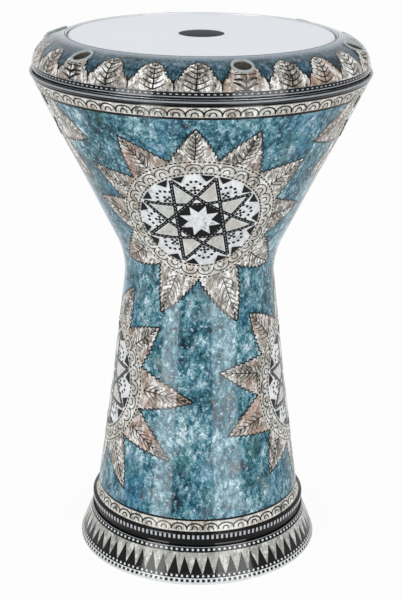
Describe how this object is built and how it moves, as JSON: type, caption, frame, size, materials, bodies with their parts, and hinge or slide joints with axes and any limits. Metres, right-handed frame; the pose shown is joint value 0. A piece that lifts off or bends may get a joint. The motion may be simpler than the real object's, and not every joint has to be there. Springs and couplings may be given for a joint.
{
  "type": "goblet drum",
  "caption": "Goblet-shaped hand drum: cast waisted shell with mosaic inlay, milk-white head and a bolted tension collar with recessed bolts.",
  "frame": {"origin": "centre of the foot's rest face", "axes": "+Z along the drum's axis from the foot to the head, -Y towards the front medallion"},
  "size_m": [0.269, 0.269, 0.432],
  "materials": {
    "cast_metal": "satin cast aluminium, machined at the foot lip and bearing edge",
    "teal_mosaic": "crushed teal shell set in black resin under clear gloss lacquer",
    "pearl_scallops": "mother-of-pearl scallops outlined in black resin, gloss lacquer",
    "striped_resin": "black and pearl stripes, gloss lacquer",
    "toothed_resin": "black and pearl teeth, gloss lacquer",
    "black_resin": "black resin, gloss lacquer",
    "dotted_resin": "black resin with pearl dots, gloss lacquer",
    "pearl_triangles": "mother-of-pearl with black triangles, gloss lacquer",
    "checked_pearl": "pearl band with black squares, gloss lacquer",
    "head_film": "milk-white synthetic drumhead film",
    "hoop_metal": "satin aluminium",
    "leaf_mosaic": "teal shell with pearl leaves, gloss lacquer",
    "dashed_belt": "black resin with pearl dashes, gloss lacquer",
    "washer_steel": "zinc-plated steel",
    "bolt_steel": "zinc-plated steel"
  },
  "bodies": {
    "drum_shell": {"shell_casting": "cast_metal", "stem_bowl_inlay": "teal_mosaic", "rim_scallop_inlay": "pearl_scallops", "rim_stripe_bead": "striped_resin", "foot_scallop_inlay": "pearl_scallops", "foot_tooth_bead": "toothed_resin", "foot_cove_inlay": "black_resin", "foot_upper_dot_inlay": "dotted_resin", "foot_triangle_inlay": "pearl_triangles", "foot_lower_dot_inlay": "dotted_resin", "foot_check_inlay": "checked_pearl", "drumhead_film": "head_film", "flesh_hoop": "hoop_metal"},
    "tension_collar": {"collar_casting": "cast_metal", "collar_leaf_inlay": "leaf_mosaic", "collar_belt_inlay": "dashed_belt", "washer_1": "washer_steel", "washer_2": "washer_steel", "washer_3": "washer_steel", "washer_4": "washer_steel", "washer_5": "washer_steel", "washer_6": "washer_steel"},
    "tension_bolt_1": {"bolt_1": "bolt_steel"},
    "tension_bolt_2": {"bolt_2": "bolt_steel"},
    "tension_bolt_3": {"bolt_3": "bolt_steel"},
    "tension_bolt_4": {"bolt_4": "bolt_steel"},
    "tension_bolt_5": {"bolt_5": "bolt_steel"},
    "tension_bolt_6": {"bolt_6": "bolt_steel"}
  },
  "joints": [
    {"name": "collar_travel", "type": "slide", "parent": "drum_shell", "child": "tension_collar", "axis": [0, 0, 1], "range_m": [0, 0.003]},
    {"name": "bolt_1_turn", "type": "hinge", "parent": "tension_collar", "child": "tension_bolt_1", "pos_m": [0.02927, -0.11741, 0.4141], "axis": [0, 0, 1], "range_deg": [0, 1081]},
    {"name": "bolt_2_turn", "type": "hinge", "parent": "tension_collar", "child": "tension_bolt_2", "pos_m": [0.11631, -0.03335, 0.4141], "axis": [0, 0, 1], "range_deg": [0, 1081]},
    {"name": "bolt_3_turn", "type": "hinge", "parent": "tension_collar", "child": "tension_bolt_3", "pos_m": [0.08704, 0.08405, 0.4141], "axis": [0, 0, 1], "range_deg": [0, 1081]},
    {"name": "bolt_4_turn", "type": "hinge", "parent": "tension_collar", "child": "tension_bolt_4", "pos_m": [-0.02927, 0.11741, 0.4141], "axis": [0, 0, 1], "range_deg": [0, 1081]},
    {"name": "bolt_5_turn", "type": "hinge", "parent": "tension_collar", "child": "tension_bolt_5", "pos_m": [-0.11631, 0.03335, 0.4141], "axis": [0, 0, 1], "range_deg": [0, 1081]},
    {"name": "bolt_6_turn", "type": "hinge", "parent": "tension_collar", "child": "tension_bolt_6", "pos_m": [-0.08704, -0.08405, 0.4141], "axis": [0, 0, 1], "range_deg": [0, 1081]}
  ],
  "couplings": [
    {"joint": "bolt_1_turn", "follows": "collar_travel", "rad_per_m": 6283.2},
    {"joint": "bolt_2_turn", "follows": "collar_travel", "rad_per_m": 6283.2},
    {"joint": "bolt_3_turn", "follows": "collar_travel", "rad_per_m": 6283.2},
    {"joint": "bolt_4_turn", "follows": "collar_travel", "rad_per_m": 6283.2},
    {"joint": "bolt_5_turn", "follows": "collar_travel", "rad_per_m": 6283.2},
    {"joint": "bolt_6_turn", "follows": "collar_travel", "rad_per_m": 6283.2}
  ]
}
